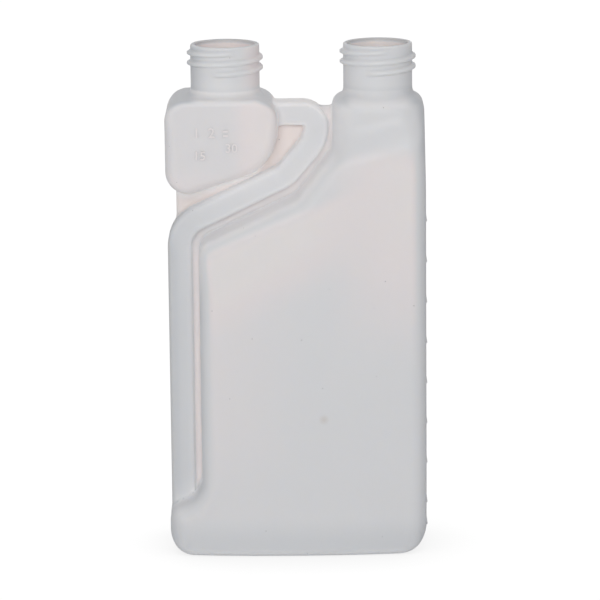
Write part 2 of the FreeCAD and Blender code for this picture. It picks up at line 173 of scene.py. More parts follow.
key = bpy.data.objects.new("key_light", bpy.data.lights.new("key_light", "AREA"))
key.data.shape = "SQUARE"
key.data.size = KEY_SIZE
key.data.energy = KEY_WATTS
key.data.color = KEY_COLOUR
key.visible_camera = False
aim = np.array(KEY_LOOKS_AT) - np.array(KEY_PLACE)
aim = aim / np.linalg.norm(aim)
side = np.cross(aim, (0, 0, 1))
side = side / np.linalg.norm(side)
key.matrix_world = aimed(side, np.cross(side, aim), aim, KEY_PLACE)
bpy.context.scene.collection.objects.link(key)
bpy.context.scene.view_settings.view_transform = "Standard"
bpy.context.scene.cycles.max_bounces = LIGHT_BOUNCES
bpy.context.scene.cycles.diffuse_bounces = LIGHT_BOUNCES

# ------------------------------------------------------------------------- the shell: its blown forms
# The bottle is one blow-moulded shell: a reservoir, a dosing chamber, a transfer tube between them, and
# webs where the mould pinched the plastic flat. Each form is a distance, so that they can melt together.
WALL = 1.0
LEFT, RIGHT, RIM = -41.2, 40.45, 162.0
FILLING_X, DOSING_X = 25.7, -22.1
NECK_RADIUS, BORE_RADIUS = 10.8, 9.4
NECK_ROOT, NECK_FOOT = 141.0, 149.6
BODY_HALF_DEPTH, BODY_EDGE = 18.5, 5.5
BOW, FOOT_BOW, BOW_POWER = 1.2, 1.6, 2.4
SLOPE_CRISP, RECESS_CRISP, BASE_CRISP = 1.3, 0.8, 3.0
TOWER_HALF, TOWER_EDGE, TOWER_TOP, ROOF_EDGE = 14.35, 9.5, 145.8, 4.2
SHOULDER_LOW, SHOULDER_HIGH, SHOULDER_TILT = 127.5, 140.0, 0.25
CHAMBER_LEFT, CHAMBER_RIGHT, CHAMBER_TOP = -40.95, -6.0, 146.2
CHAMBER_HALF_DEPTH, CHAMBER_EDGE, CHAMBER_CRISP = 14.5, 3.4, 1.6
TUBE_X, TUBE_CREST_X, TUBE_CREST = -37.1, 6.2, 140.2
TUBE_HALF_WIDTH, TUBE_HALF_DEPTH, TUBE_EDGE = 3.75, 4.75, 1.5
WEB_HALF_DEPTH, WEB_EDGE, WEB_TOP = 1.0, 0.6, 142.2
SLOPE_FOOT, SLOPE_RUN = (-30.8, 100.4), (0.906, 0.423)
TUBE_MELT, CHAMBER_MELT, WEB_MELT, NECK_MELT, BORE_MELT = 0.9, 1.6, 1.2, 2.4, 1.0
RING_X, RING_HALF_WIDTH, RING_HALF_DEPTH, RING_SLOPE = -0.2, 29.8, 9.0, 3.0
PINCH_RELIEF, PINCH_DEPTH, PINCH_LENGTH = 0.6, (1.1, 0.3), (27.0, 25.5)


def rounded_line(corners, radii, closed):
    """The straight runs and the arcs of a line with rounded corners, run anticlockwise if it is closed."""
    points = [np.array(corner, float) for corner in corners]
    count = len(points)
    joints = range(count) if closed else range(1, count - 1)
    starts, ends, arcs = list(points), list(points), []
    for joint, radius in zip(joints, radii):
        back = points[joint - 1] - points[joint]
        on = points[(joint + 1) % count] - points[joint]
        back, on = back / np.linalg.norm(back), on / np.linalg.norm(on)
        half = math.acos(float(back @ on)) / 2
        middle = (back + on) / np.linalg.norm(back + on)
        centre = points[joint] + middle * radius / math.sin(half)
        ends[joint] = points[joint] + back * radius / math.tan(half)
        starts[joint] = points[joint] + on * radius / math.tan(half)
        bulge = 1.0 if on[0] * back[1] - on[1] * back[0] > 0 else -1.0
        arcs.append((centre, radius, -middle, math.sin(half), bulge))
    runs = [(starts[i], ends[(i + 1) % count]) for i in range(count if closed else count - 1)]
    return runs, arcs


def distance_to_line(line, x, z):
    """How far each place is from the line, below zero on its inner side."""
    runs, arcs = line
    nearest = np.full(np.broadcast(x, z).shape, 1e9)
    signed = nearest.copy()
    for (ax, az), (bx, bz) in runs:
        dx, dz = bx - ax, bz - az
        along = np.clip(((x - ax) * dx + (z - az) * dz) / (dx * dx + dz * dz), 0, 1)
        away = np.hypot(x - ax - along * dx, z - az - along * dz)
        outer_side = (x - ax) * dz - (z - az) * dx > 0
        signed = np.where(away < nearest, np.where(outer_side, away, -away), signed)
        nearest = np.minimum(nearest, away)
    for centre, radius, middle, reach, bulge in arcs:
        px, pz = x - centre[0], z - centre[1]
        span = np.hypot(px, pz) + 1e-9
        in_arc = px * middle[0] + pz * middle[1] >= span * reach
        away = np.where(in_arc, np.abs(span - radius), 1e9)
        signed = np.where(away < nearest, (span - radius) * bulge, signed)
        nearest = np.minimum(nearest, away)
    return signed


def rounded(across, out, rounding):
    """Two distances at right angles, joined over a rounded edge."""
    across, out = across + rounding, out + rounding
    corner = np.hypot(np.maximum(across, 0), np.maximum(out, 0))
    return np.minimum(np.maximum(across, out), 0) + corner - rounding


def melted(one, other, reach):
    """Two forms joined with a soft fillet."""
    near = np.clip(1 - np.abs(one - other) / reach, 0, 1)
    return np.minimum(one, other) - near * near * reach / 4


def eased(value, start, full):
    """A share that goes smoothly from 0 where the value is at its start to 1 where it is full."""
    share = np.clip((value - start) / (full - start), 0, 1)
    return share * share * (3 - 2 * share)


body_line = rounded_line(
    [
        (LEFT, 0), (RIGHT, 0), (RIGHT - 0.1, 118), (FILLING_X + TOWER_HALF, 133),
        (FILLING_X + TOWER_HALF, 160), (FILLING_X - TOWER_HALF, 160), (FILLING_X - TOWER_HALF, 129.6),
        (0.05, 114.8), SLOPE_FOOT, (SLOPE_FOOT[0], 18.0), (LEFT, 14.3),
    ],
    [7.6, 8.7, 60.0, 60.0, 1.0, 1.0, 5.2, 9.0, 6.0, 9.0, 5.4],
    closed=True,
)
chamber_line = rounded_line(
    [
        (CHAMBER_LEFT, 113.8), (CHAMBER_RIGHT, 125.1),
        (CHAMBER_RIGHT, CHAMBER_TOP), (CHAMBER_LEFT, CHAMBER_TOP),
    ],
    [7.0, 15.0, 7.0, 6.9],
    closed=True,
)
tube_line = rounded_line(
    [
        (TUBE_X, 9.8), (TUBE_X, 104.3), (-3.5, 120.5), (TUBE_CREST_X, 131.9),
        (TUBE_CREST_X, TUBE_CREST), (-9.2, TUBE_CREST),
    ],
    [10.0, 10.5, 10.0, 4.2],
    closed=False,
)
web_line = rounded_line(
    [
        (TUBE_X, 11.8), (-27.35, 11.8), (-27.35, 96.4), (0.05, 111), (FILLING_X, 131),
        (FILLING_X, WEB_TOP), (-9.2, WEB_TOP), (-38.0, 118.6), (-38.0, 99.8), (TUBE_X, 94.8),
    ],
    [0.2, 0.2, 5.0, 5.0, 0.5, 0.5, 0.5, 0.5, 0.5, 0.5],
    closed=True,
)


def main_body(x, y, z):
    """The reservoir, whose faces bow in toward its sides, and the squarer tower over it."""
    height = z - SHOULDER_TILT * (x - FILLING_X)
    to_tower = eased(height, SHOULDER_LOW, SHOULDER_HIGH)
    bowed = (BOW + FOOT_BOW * eased(z, 30, 4)) * np.abs(x / RIGHT) ** BOW_POWER
    depth = (BODY_HALF_DEPTH - bowed) * (1 - to_tower) + TOWER_HALF * to_tower
    by_slope, by_recess = eased(z, 84, 98), eased(z, 11, 16) * eased(z, 27, 19)
    crisp = eased(x, 14, -22) * np.maximum(SLOPE_CRISP * by_slope, RECESS_CRISP * by_recess)
    crisp = np.maximum(crisp, BASE_CRISP * eased(z, 7, 1))
    edge = BODY_EDGE - crisp
    edge = edge + (TOWER_EDGE - BODY_EDGE) * eased(height, SHOULDER_LOW + 2.0, SHOULDER_HIGH + 3.0)
    sides = rounded(distance_to_line(body_line, x, z), np.abs(y) - depth, edge)
    return rounded(sides, z - TOWER_TOP, ROOF_EDGE)


def chamber(x, y, z):
    """The dosing chamber, whose edges grow crisper toward its roof."""
    edge = CHAMBER_EDGE - CHAMBER_CRISP * eased(z, 134, 143)
    return rounded(distance_to_line(chamber_line, x, z), np.abs(y) - CHAMBER_HALF_DEPTH, edge)


def tube(x, y, z):
    """The transfer tube, a flat passage along its line."""
    across = np.abs(distance_to_line(tube_line, x, z)) - TUBE_HALF_WIDTH
    return rounded(across, np.abs(y) - TUBE_HALF_DEPTH, TUBE_EDGE)


def web(x, y, z):
    """The pinched webs, one flat sheet in the plane of the mould's parting."""
    return rounded(distance_to_line(web_line, x, z), np.abs(y) - WEB_HALF_DEPTH, WEB_EDGE)


def neck(x, y, z, axis, radius):
    """A neck or its bore, from its root upward."""
    return np.maximum(np.hypot(x - axis, y) - radius, NECK_ROOT - z)


def push_up(x, y):
    """How far the base is pushed up within the flat ring that the bottle stands on."""
    within_ring = np.minimum(RING_HALF_WIDTH - np.abs(x - RING_X), RING_HALF_DEPTH - np.abs(y))
    return eased(within_ring, 0.0, RING_SLOPE)


def outside(x, y, z):
    """The whole outer surface below the rims, with the ridge where the base was pinched off."""
    shell = melted(main_body(x, y, z), tube(x, y, z), TUBE_MELT)
    shell = melted(shell, chamber(x, y, z), CHAMBER_MELT)
    shell = melted(shell, web(x, y, z), WEB_MELT)
    shell = melted(shell, neck(x, y, z, FILLING_X, NECK_RADIUS), NECK_MELT)
    shell = melted(shell, neck(x, y, z, DOSING_X, NECK_RADIUS), NECK_MELT)
    pinched_off = PINCH_RELIEF * eased(np.abs(y), *PINCH_DEPTH) * eased(np.abs(x), *PINCH_LENGTH)
    return np.maximum(shell, push_up(x, y) - pinched_off - z)


def hollow(x, y, z):
    """The inner surface, one wall within the forms and open through both bores."""
    space = melted(main_body(x, y, z), chamber(x, y, z), CHAMBER_MELT)
    space = melted(space, tube(x, y, z), TUBE_MELT) + WALL
    space = melted(space, neck(x, y, z, FILLING_X, BORE_RADIUS), BORE_MELT)
    space = melted(space, neck(x, y, z, DOSING_X, BORE_RADIUS), BORE_MELT)
    return np.maximum(space, push_up(x, y) + WALL - z)


def steps(*stretches):
    """Grid lines from stretches of (start, end, spacing)."""
    lines = []
    for start, end, spacing in stretches:
        lines.extend(np.linspace(start, end, max(2, round((end - start) / spacing) + 1))[:-1])
    return np.array(lines + [stretches[-1][1]])


def skin(distance, xs, ys, zs):
    """Quads over the surface where a distance is zero, with a vertex in each cell of the grid it crosses."""
    grids = [xs, ys, zs]
    value = distance(xs[:, None, None], ys[None, :, None], zs[None, None, :])
    inside = value < 0
    shape = tuple(len(grid) - 1 for grid in grids)
    total, crossings = np.zeros(shape + (3,)), np.zeros(shape)
    edges = []
    for axis in range(3):
        near, far = [slice(None)] * 3, [slice(None)] * 3
        near[axis], far[axis] = slice(None, -1), slice(1, None)
        a, b = value[tuple(near)], value[tuple(far)]
        crossed = inside[tuple(near)] != inside[tuple(far)]
        share = np.where(crossed, a / np.where(crossed, a - b, 1), 0)
        place = []
        for other in range(3):
            form = [1, 1, 1]
            form[other] = -1
            line = grids[other].reshape(form)
            if other == axis:
                start = grids[other][:-1].reshape(form)
                line = start + share * (grids[other][1:].reshape(form) - start)
            place.append(np.broadcast_to(line, a.shape) * crossed)
        first, second = [other for other in range(3) if other != axis]
        for one in (0, 1):
            for two in (0, 1):
                pick = [slice(None)] * 3
                pick[first] = slice(one, one + shape[first])
                pick[second] = slice(two, two + shape[second])
                pick = tuple(pick)
                crossings += crossed[pick]
                for other in range(3):
                    total[..., other] += place[other][pick]
        edges.append((crossed, a < 0))
    used = crossings > 0
    number = np.full(shape, -1)
    number[used] = np.arange(used.sum())
    points = total[used] / crossings[used][:, None]
    quads = []
    for axis, (crossed, leaves) in enumerate(edges):
        first, second = (axis + 1) % 3, (axis + 2) % 3
        inner = [slice(None)] * 3
        inner[first], inner[second] = slice(1, -1), slice(1, -1)
        where = np.argwhere(crossed[tuple(inner)])
        leaving = leaves[tuple(inner)][crossed[tuple(inner)]]
        ring = []
        for one, two in ((0, 0), (1, 0), (1, 1), (0, 1)):
            cell = where.copy()
            cell[:, first] += one
            cell[:, second] += two
            ring.append(number[cell[:, 0], cell[:, 1], cell[:, 2]])
        ring = np.stack(ring, 1)
        quads.append(np.where(leaving[:, None], ring, ring[:, ::-1]))
    top = np.argwhere(used)[:, 2] == shape[2] - 1
    return points, np.concatenate(quads), top


def rise(distance, points, step):
    """The change of a distance along each axis, from a step before each point to a step after it."""
    x, y, z = points.T
    across = distance(x + step, y, z) - distance(x - step, y, z)
    through = distance(x, y + step, z) - distance(x, y - step, z)
    upward = distance(x, y, z + step) - distance(x, y, z - step)
    return np.stack([across, through, upward], 1)


def settled(distance, points, rounds=4, step=0.02, furthest=0.5):
    """The points moved onto the surface itself, in a few rounds that each move a point by half a millimetre
    at most."""
    for _ in range(rounds):
        here = distance(*points.T)
        slope = rise(distance, points, step) / (2 * step)
        move = here[:, None] * slope / np.maximum((slope * slope).sum(1), 0.05)[:, None]
        size = np.linalg.norm(move, axis=1)
        points = points - move * np.minimum(1, furthest / np.maximum(size, 1e-9))[:, None]
    return points


# Stretches of the grids, finer where an edge, a web or a passage crosses them. The outer surface is seen,
# and the inner one only through the bores.
TOP_STEP = 0.6
outer_points, outer_quads, outer_top = skin(
    outside,
    steps((-42.1, -26.5, 0.65), (-26.5, 5, 0.95), (5, 13, 0.55), (13, 33, 1.15), (33, 42.0, 0.8)),
    steps((-19.2, -12.6, 0.8), (-12.6, -6, 1.2), (-6, 6, 0.6), (6, 12.6, 1.2), (12.6, 19.2, 0.8)),
    steps((-0.7, 25.2, 0.8), (25.2, 94, 2.6), (94, NECK_FOOT + TOP_STEP / 2, TOP_STEP)),
)
inner_points, inner_quads, inner_top = skin(
    hollow,
    steps((-42.1, -26.5, 0.95), (-26.5, 42.0, 1.4)),
    steps((-19.0, -6, 1.4), (-6, 6, 0.95), (6, 19.0, 1.4)),
    steps((-0.4, 25.2, 1.2), (25.2, 94, 3.5), (94, NECK_FOOT + TOP_STEP / 2, 2 * TOP_STEP)),
)
low_corner, high_corner = np.array(packed_box[0]) / MM, np.array(packed_box[1]) / MM
outer_points = np.clip(settled(outside, outer_points), low_corner, high_corner)
inner_points = settled(hollow, inner_points)

# ------------------------------------------------------------------------- the shell: necks and threads
# Each neck is part of the same shell, but its finish is cut in steel: a true cylinder with one rounded
# thread of eight turns to the inch wound 2.1 times round it, which fades out at both of its ends.
THREAD_LOW, THREAD_PITCH, THREAD_TURNS = 153.6, 3.175, 2.1
THREAD_START, THREAD_FADES = -109.0, (-0.015, 0.045)
THREAD_RELIEF, THREAD_HALF, THREAD_FLANK = 1.1, 1.08, 0.78
OUTER_LIP, INNER_LIP = 0.5, 0.4
PLAIN_HEIGHTS, THREAD_HEIGHTS = (149.95, 150.6, 151.3, 151.9), np.linspace(152.2, 161.3, 40)
BORE_HEIGHTS = (160.6, 158.6, 156, 153, 150)
ROUND_COUNT = 120


def thread_relief(angles, heights):
    """How far the thread stands over the neck at each angle (degrees) and height."""
    first = np.mod(angles - THREAD_START, 360.0) / 360.0
    relief = np.zeros(np.broadcast(angles, heights).shape)
    for turn in range(-1, int(THREAD_TURNS) + 2):
        wound = first + turn
        fades = eased(wound, *THREAD_FADES) * eased(THREAD_TURNS - wound, *THREAD_FADES)
        off = np.abs(heights - THREAD_LOW - THREAD_PITCH * wound)
        relief = np.maximum(relief, THREAD_RELIEF * fades * eased(THREAD_HALF - off, 0.0, THREAD_FLANK))
    return relief


def lip(centre_radius, centre_height, radius, start, end, count):
    """Stations round the arc of a lip, as (radius, height)."""
    turns = np.radians(np.linspace(start, end, count))
    return [(centre_radius + radius * math.cos(t), centre_height + radius * math.sin(t)) for t in turns]


profile = [(NECK_RADIUS, height) for height in (*PLAIN_HEIGHTS, *THREAD_HEIGHTS)]
profile += lip(NECK_RADIUS - OUTER_LIP, RIM - OUTER_LIP, OUTER_LIP, 0, 90, 5)
profile += lip(BORE_RADIUS + INNER_LIP, RIM - INNER_LIP, INNER_LIP, 90, 180, 4)
profile += [(BORE_RADIUS, height) for height in BORE_HEIGHTS]
radii, heights = np.array(profile).T[:, :, None]
angles = np.arange(ROUND_COUNT) * 360.0 / ROUND_COUNT
radii = radii + thread_relief(angles[None, :], heights) * (radii >= NECK_RADIUS)
ring = np.radians(angles)[None, :]

points, faces = [outer_points, inner_points], [outer_quads, inner_quads[:, ::-1] + len(outer_points)]
seams = []
made = len(outer_points) + len(inner_points)
for axis in (FILLING_X, DOSING_X):
    places = [axis + radii * np.cos(ring), radii * np.sin(ring), heights + 0 * radii]
    points.append(np.stack(places, -1).reshape(-1, 3))
    row = np.arange(len(profile) - 1)[:, None] * ROUND_COUNT
    here = np.arange(ROUND_COUNT)[None, :]
    beside = (here + 1) % ROUND_COUNT
    quads = [row + here, row + beside, row + beside + ROUND_COUNT, row + here + ROUND_COUNT]
    faces.append(np.stack(quads, -1).reshape(-1, 4) + made)
    last = made + (len(profile) - 1) * ROUND_COUNT
    for body, body_top, offset, start, faces_out in (
        (outer_points, outer_top, 0, made, True),
        (inner_points, inner_top, len(outer_points), last, False),
    ):
        low = np.flatnonzero(body_top & (np.abs(body[:, 0] - axis) < 2 * NECK_RADIUS))
        low_angle = np.degrees(np.arctan2(body[low, 1], body[low, 0] - axis)) % 360
        low = low[np.argsort(low_angle)] + offset
        low_angle = np.sort(low_angle)
        high = np.arange(ROUND_COUNT) + start
        a = b = 0
        while a < len(low) or b < ROUND_COUNT:
            next_low = low_angle[a + 1] if a + 1 < len(low) else low_angle[0] + 360
            next_high = angles[b + 1] if b + 1 < ROUND_COUNT else 360.0
            one, other = int(low[a % len(low)]), int(high[b % ROUND_COUNT])
            if b >= ROUND_COUNT or (a < len(low) and next_low <= next_high):
                a += 1
                corner = int(low[a % len(low)])
            else:
                b += 1
                corner = int(high[b % ROUND_COUNT])
            seams.append([one, corner, other] if faces_out else [other, corner, one])
    made += len(points[-1])
points = np.concatenate(points)
quads = np.concatenate(faces)

shell_mesh = bpy.data.meshes.new("bottle_shell")
shell_mesh.from_pydata((points * MM).tolist(), [], quads.tolist() + seams)
shell_mesh.polygons.foreach_set("use_smooth", np.ones(len(shell_mesh.polygons), bool))
shell_mesh.update()
shell = bpy.data.objects.new("bottle_shell", shell_mesh)
bpy.context.scene.collection.objects.link(shell)

# ------------------------------------------------------------------------- the shell: its tones
# The milky wall's colour carries painted light and shade. It is painted paler in hollows and on lit edges,
# painted warmer and lighter where light gathers in it, and painted cooler and darker where it turns away.
# Webs are thin enough for light to pass, and get a painted warm tone for it. These shares are kept on the
# mesh as attributes: the painted fill light (paleness), the painted light tone (below 0 is painted cool
# shade), thin, and the painted glow (light from the space behind, painted into the emission).
PROBE = 0.05
HOLLOW_REACHES = (2.0, 5.0, 10.0)
HOLLOWS_PAINTED_FILL_LIGHT = (0.0, 0.5, 2.0)  # on webs, tube and chamber, against 1 on the reservoir
# Shifts of the painted light tone: above 0 is painted warm light, below 0 is painted cool shade.
NECK_PAINTED_TONE, WEB_PAINTED_TONE, INNER_PAINTED_TONE, CUT_PAINTED_SHADE = -0.1, 0.3, 0.9, -2.0
ROOF_PAINTED_SHADE, TUBE_SIDE_PAINTED_SHADE, BODY_SIDE_PAINTED_SHADE = 1.2, 1.1, 0.55
NECK_MELTS_OVER, NECK_SHADE_REACH, WEB_RIGHT = 1.5, 2.5, 10
INNER_PAINTED_FILL_LIGHT, BORE_REACH = 0.15, NECK_RADIUS - 0.8
CUT_HEIGHT, CUT_RADII = 161.4, (BORE_RADIUS - 0.1, NECK_RADIUS - 0.55)
SIDES_PAINTED_GLOW, EDGE_PAINTED_GLOW = 1.8, 0.12


def standing(x, y, z):
    """The outer surface cut level at the rims."""
    return np.maximum(outside(x, y, z), z - RIM)


def patch(amount, form=1, **stretches):
    """A tone's amount on one form, brought in over a stretch of each measure. A stretch of four values also
    takes it out again between the last two."""
    share = form * amount
    for measure, bounds in stretches.items():
        share = share * eased(measures[measure], *bounds[:2])
        if len(bounds) > 2:
            share = share * eased(measures[measure], bounds[3], bounds[2])
    return share


x, y, z = points.T
slope = rise(standing, points, PROBE)
slope /= np.maximum(np.linalg.norm(slope, axis=1), 1e-6)[:, None]
enclosed = np.zeros(len(points))
for reach in HOLLOW_REACHES:
    enclosed += np.clip(1 - standing(*(points + slope * reach).T) / reach, 0, 1) / len(HOLLOW_REACHES)
to_body, to_chamber, to_tube, to_web = [form(x, y, z) for form in (main_body, chamber, tube, web)]
nearest = np.argmin([to_body, to_chamber, to_tube, to_web], 0)
is_body, is_chamber, is_tube, is_web = [nearest == form for form in range(4)]
from_axis = np.minimum(np.hypot(x - FILLING_X, y), np.hypot(x - DOSING_X, y))
on_neck = z > NECK_FOOT - NECK_MELTS_OVER
measures = {
    "x": x,
    "z": z,
    "off_middle": np.abs(y),
    "fronting": np.abs(slope[:, 1]),
    "upward": slope[:, 2],
    "leftward": -slope[:, 0],
    "outward": slope[:, 0] * np.sign(x),
    "from_axis": from_axis,
    "beside_neck": np.minimum(np.abs(x - FILLING_X), np.abs(x - DOSING_X)),
    "from_chamber": chamber(x, 0 * y, z),
    "off_web": np.abs(to_web),
    "below_slope": (x - SLOPE_FOOT[0]) * SLOPE_RUN[1] - (z - SLOPE_FOOT[1]) * SLOPE_RUN[0],
}

# Places that more than one tone depends on.
facing = patch(1.0, is_body, fronting=(0.82, 0.995), z=(133, 124))
roof = patch(1.0, z=(142, 145), upward=(0.3, 0.8), beside_neck=(7, 12))
turned_away = patch(1.0, outward=(0.5, 1.0))
turned_in = patch(1.0, outward=(-0.3, -0.9))
upper_side = patch(1.0, is_tube, upward=(0.2, 0.6), z=(138, 134))
clear_of_web = patch(1.0, off_middle=(1.4, 3.5))
by_slope = patch(1.0, is_web & (to_body < to_chamber), z=(94, 104))
sheet = patch(1.0, is_web, off_web=(0.9, 0.3))
slit = patch(1.0, is_web, from_chamber=(5.0, 1.5), x=(-8, -14))
by_edge = patch(clear_of_web, is_body, z=(80, 100, 127, 134), x=(15, 9), fronting=(0.85, 0.45))

# Painted light and shade: the reservoir's face is painted warm and lighter up to the right, along the slope
# and faintly to the left, and painted cool and darker at its foot. The chamber is painted warm to the right
# and at its foot. The tube is painted cool and darker, most of all on its outer side.
painted_light_tone = patch(0.8, facing, z=(55, 112), x=(4, 32))
painted_light_tone += patch(1.0, facing, below_slope=(2, 7, 9, 32), x=(25, 0))
painted_light_tone += patch(0.25, facing, x=(10, -30)) * (0.4 + patch(0.6, z=(18, 45)))
painted_light_tone -= patch(0.6, is_body, z=(0.5, 3, 4, 14))
painted_light_tone += patch(0.1, is_chamber) + patch(0.7, is_chamber, x=(-22, -12))
painted_light_tone += patch(0.3, is_chamber, z=(126, 117))
painted_light_tone -= patch(0.6, is_tube) - patch(0.45, is_tube, z=(98, 125))
painted_light_tone -= patch(0.8, is_tube, x=(-36.5, -40.5), z=(104, 96))

# Roofs and sides that turn away get painted shade, cool and darker, the tube's and the tower's sides more
# than the rest. The necks get painted shade round their feet and on their outer sides, and the webs are
# painted warm, for light passing through them, except along the slope.
painted_light_tone = np.where(on_neck, NECK_PAINTED_TONE, painted_light_tone - ROOF_PAINTED_SHADE * roof)
side_painted_shade = np.where(is_tube, TUBE_SIDE_PAINTED_SHADE, BODY_SIDE_PAINTED_SHADE + patch(0.8, x > 0, z=(124, 132)))
painted_light_tone -= patch(side_painted_shade, ~is_chamber & ~on_neck) * turned_away
painted_light_tone -= patch(0.4, from_axis < NECK_RADIUS + NECK_SHADE_REACH, z=(146, 147.5, 148, 150))
painted_light_tone -= on_neck * np.where(x < 0, 0.8 * turned_away - 0.6 * turned_in, 0.2 * turned_in)
painted_light_tone -= 0.5 * upper_side
painted_light_tone = np.where(is_web, WEB_PAINTED_TONE - 1.2 * by_slope, painted_light_tone)

# Hollows are painted pale, a painted fill light where shade would gather, most of all round the chamber. So
# are the reservoir's edge beside the tube, the tube's underside and crest, the lips of the faces at the
# roofs, the tower's left side and the slit by the chamber.
painted_fill_light = enclosed * np.select([is_web, is_tube, is_chamber], HOLLOWS_PAINTED_FILL_LIGHT, 1.0) * (1 - roof)
painted_fill_light *= np.where(is_body & (x < WEB_RIGHT), 0.2 + 0.8 * clear_of_web, 1)
painted_fill_light = np.maximum(painted_fill_light, by_edge) * (1 - 0.6 * upper_side)
for painted_paler in (
    patch(0.3 + patch(0.6, z=(124, 130)), is_tube, z=(96, 106), upward=(-0.1, -0.6)),
    patch(0.15 + patch(0.85, upward=(0.05, 0.4)), is_tube, z=(134, 138)),
    patch(0.7, is_body | is_chamber, z=(140.5, 143), upward=(0.25, 0.6), beside_neck=(12, 7),
          from_axis=(NECK_RADIUS + 0.3, NECK_RADIUS + 2.8)),
    patch(0.3, is_body & (x < FILLING_X), z=(126, 134), leftward=(0.1, 0.7)),
):
    painted_fill_light = np.maximum(painted_fill_light, painted_paler)
painted_fill_light = np.maximum(np.minimum(1, painted_fill_light) * (1 - 0.8 * on_neck), slit)

# The webs are thinnest high up, away from the slope and the slit. There they scatter light further and get a
# painted warm through-light tone.
thin = sheet * (0.3 + patch(0.7, z=(94, 112))) * (1 - 0.55 * by_slope) * (1 - slit)

# A painted glow in the emission stands for light coming in through the webs and the sides round the chamber,
# between crest and tower, and along edges.
near_chamber = patch(1.0, from_chamber=(11, 5)) * (1 - patch(0.45, x=(-14, -6)) - patch(0.5, x=(-24, -33)))
near_tower = 0.35 + patch(0.4, x=(-4, 4)) + patch(0.6, x=(5, 8), z=(130, 136))
on_sides = patch(near_chamber, fronting=(0.97, 0.6))
on_sides *= np.where(is_tube, 0.1 + patch(0.6, z=(124, 130)), SIDES_PAINTED_GLOW)
painted_glow = patch(enclosed, z=(144, 138))
painted_glow *= np.where(is_web, sheet * np.maximum(near_chamber, near_tower), on_sides)
painted_glow = np.maximum(painted_glow, EDGE_PAINTED_GLOW * by_edge)
painted_glow = np.maximum(painted_glow, patch(0.6, is_tube, z=(138, 140.5), upward=(0.3, 0.8)))
painted_glow[len(outer_points):] = 0

# Inside, the bottle is painted warm, with little painted fill light. The rims' cut tops are painted darkest,
# a painted shade line round each mouth.
inner_side = (z > NECK_FOOT) & (from_axis < BORE_REACH)
inner_side[len(outer_points):len(outer_points) + len(inner_points)] = True
cut = (z > CUT_HEIGHT) & (from_axis > CUT_RADII[0]) & (from_axis < CUT_RADII[1])
painted_light_tone = np.clip(np.select([cut, inner_side], [CUT_PAINTED_SHADE, INNER_PAINTED_TONE], painted_light_tone), CUT_PAINTED_SHADE, 1)
painted_fill_light = np.select([cut, inner_side], [0.0, INNER_PAINTED_FILL_LIGHT], painted_fill_light)
for name, amount in (("painted_fill_light", painted_fill_light), ("painted_light_tone", painted_light_tone), ("thin", thin), ("painted_glow", painted_glow)):
    shell_mesh.attributes.new(name, "FLOAT", "POINT").data.foreach_set("value", amount.astype(np.float32))

# ------------------------------------------------------------------------- the shell: natural plastic
# High-density polyethylene with no colour in it: milky, satin as it leaves the mould, with a fine grain.
# It scatters light under its surface, further where it is thin. A few specks and one scuff lie on it, and
# the mould's halves leave a line round it. Its base colour also carries painted light and shade from the
# mesh's shares, and its emission a faint painted glow.
# Painted light and shade: rim shade, shade, warm light, fill light, through-light and glow. The plain tone,
# drifts, specks and scuff are the plastic's own.
TONE_PAINTED_RIM_SHADE = (0.66, 0.665, 0.67, 1)
TONE_PAINTED_SHADE = (0.7, 0.722, 0.745, 1)
TONE_PLAIN = (0.82, 0.83, 0.842, 1)
TONE_PAINTED_WARM_LIGHT = (0.985, 0.88, 0.865, 1)
TONE_PAINTED_FILL_LIGHT = (0.98, 0.975, 0.978, 1)
TONE_THIN_PAINTED_THROUGH_LIGHT = (0.83, 0.762, 0.74, 1)
TONE_PAINTED_GLOW = (1.0, 0.87, 0.8, 1)
TONE_SPECK = (0.36, 0.35, 0.35, 1)
TONE_SCUFF = (0.6, 0.52, 0.45, 1)
TONE_DRIFTS = (0.645, 0.685)
REFRACTION, GLOSS, PAINTED_GLOW_STRENGTH = 1.52, 0.3, 0.13
SOFTNESS, THIN_SOFTNESS, SCATTERS_RGB = 0.0012, 0.004, (1.0, 0.95, 0.88)
CLOUD_SCALE, CLOUD_DETAIL, SATIN = 28.0, 2.0, (0.38, 0.5)
SPECK_SCALE, SPECK_SIZE, SPECK_SHARE = 168.0, (0.022, 0.034), 0.8
SCUFF_AT, SCUFF_SIZE, SCUFF_SHARE = (0.0079, -0.0185, 0.045), 0.0018, 0.35
GRAIN_SCALE, GRAIN_DETAIL, GRAIN_STRENGTH, GRAIN_DEPTH = 900.0, 3.0, 0.12, 0.0002
PARTING_WIDTH, PARTING_HEIGHT = (0.00005, 0.00035), 1.2


def kept_share(name):
    """The output of a share that a mesh carries."""
    return add("ShaderNodeAttribute", attribute_name=name).outputs["Fac"]


def over(below, tone, share):
    """A tone laid over what is below it, by a share."""
    return add("ShaderNodeMix", {"Factor": share, "A": below, "B": tone}, data_type="RGBA").outputs["Result"]


plastic = bpy.data.materials.new("natural_plastic")
plastic.use_nodes = True
tree = plastic.node_tree
where = add("ShaderNodeTexCoord").outputs["Object"]
cloud = add("ShaderNodeTexNoise", {"Vector": where, "Scale": CLOUD_SCALE, "Detail": CLOUD_DETAIL})
drifts = add("ShaderNodeMapRange", {
    "Value": cloud.outputs["Fac"], "To Min": TONE_DRIFTS[0], "To Max": TONE_DRIFTS[1],
})
third = add("ShaderNodeMath", {
    0: kept_share("painted_light_tone"), 1: 1 / 3, 2: drifts.outputs["Result"],
}, operation="MULTIPLY_ADD")
